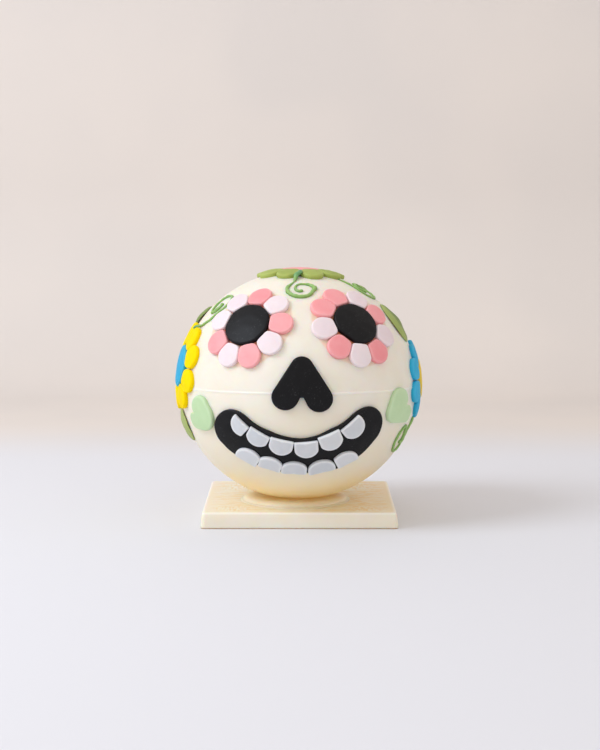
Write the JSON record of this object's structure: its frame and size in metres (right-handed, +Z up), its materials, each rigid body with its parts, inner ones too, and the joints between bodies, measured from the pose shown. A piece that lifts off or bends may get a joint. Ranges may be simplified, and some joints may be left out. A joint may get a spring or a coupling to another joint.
{
  "type": "decorated chocolate smash ball",
  "caption": "White chocolate ball on a square chocolate plinth, decorated as a sugar skull with petal eyes, a heart nose, a toothy smile and side flowers.",
  "frame": {"origin": "centre of the square plinth's underside, on the surface that it stands on", "axes": "+Z up, the face looks along -Y, +X to the viewer's right; the plinth's sides run along X and Y"},
  "size_m": [0.1563, 0.153, 0.1587],
  "materials": {
    "black_paste": "rolled modelling paste, matt black with faint powder specks",
    "blush_paste": "rolled modelling paste, matt, very pale pink",
    "ivory_plinth": "cast white chocolate, satin, faintly grained on top",
    "ivory_shell": "cast white chocolate with a soft satin sheen, warmer towards its underside",
    "marigold_paste": "rolled modelling paste, matt, golden yellow",
    "mint_paste": "rolled modelling paste, matt, pale green",
    "olive_paste": "rolled modelling paste, satin, yellow green",
    "pink_paste": "rolled modelling paste, matt, coral pink",
    "sky_blue_paste": "rolled modelling paste, matt, clear blue",
    "tooth_paste": "rolled modelling paste, matt, cool white",
    "vine_icing": "piped icing, satin, leaf green",
    "yellow_paste": "rolled modelling paste, matt, strong yellow"
  },
  "bodies": {
    "root": {"ball_shell": "ivory_shell", "cheek_left": "mint_paste", "cheek_right": "mint_paste", "eye_left_disc": "black_paste", "eye_left_petal_1": "pink_paste", "eye_left_petal_2": "blush_paste", "eye_left_petal_3": "pink_paste", "eye_left_petal_4": "blush_paste", "eye_left_petal_5": "pink_paste", "eye_left_petal_6": "blush_paste", "eye_left_petal_7": "pink_paste", "eye_left_petal_8": "blush_paste", "eye_left_petal_9": "blush_paste", "eye_right_disc": "black_paste", "eye_right_petal_1": "pink_paste", "eye_right_petal_2": "blush_paste", "eye_right_petal_3": "pink_paste", "eye_right_petal_4": "blush_paste", "eye_right_petal_5": "pink_paste", "eye_right_petal_6": "blush_paste", "eye_right_petal_7": "pink_paste", "eye_right_petal_8": "blush_paste", "eye_right_petal_9": "pink_paste", "flower_crown_disc": "pink_paste", "flower_crown_petals": "olive_paste", "flower_left_disc": "sky_blue_paste", "flower_left_petals": "yellow_paste", "flower_right_disc": "marigold_paste", "flower_right_petals": "sky_blue_paste", "leaf_left_brow": "olive_paste", "leaf_left_jaw": "olive_paste", "leaf_right_brow": "olive_paste", "leaf_right_crown": "olive_paste", "mouth": "black_paste", "nose": "black_paste", "plinth_slab": "ivory_plinth", "seat_ring": "ivory_plinth", "tooth_lower_1": "tooth_paste", "tooth_lower_2": "tooth_paste", "tooth_lower_3": "tooth_paste", "tooth_lower_4": "tooth_paste", "tooth_lower_5": "tooth_paste", "tooth_upper_1": "tooth_paste", "tooth_upper_2": "tooth_paste", "tooth_upper_3": "tooth_paste", "tooth_upper_4": "tooth_paste", "tooth_upper_5": "tooth_paste", "tooth_upper_6": "tooth_paste", "vine_forehead": "vine_icing", "vine_left_temple": "vine_icing", "vine_right_jaw": "vine_icing", "vine_right_temple": "vine_icing"}
  },
  "joints": []
}
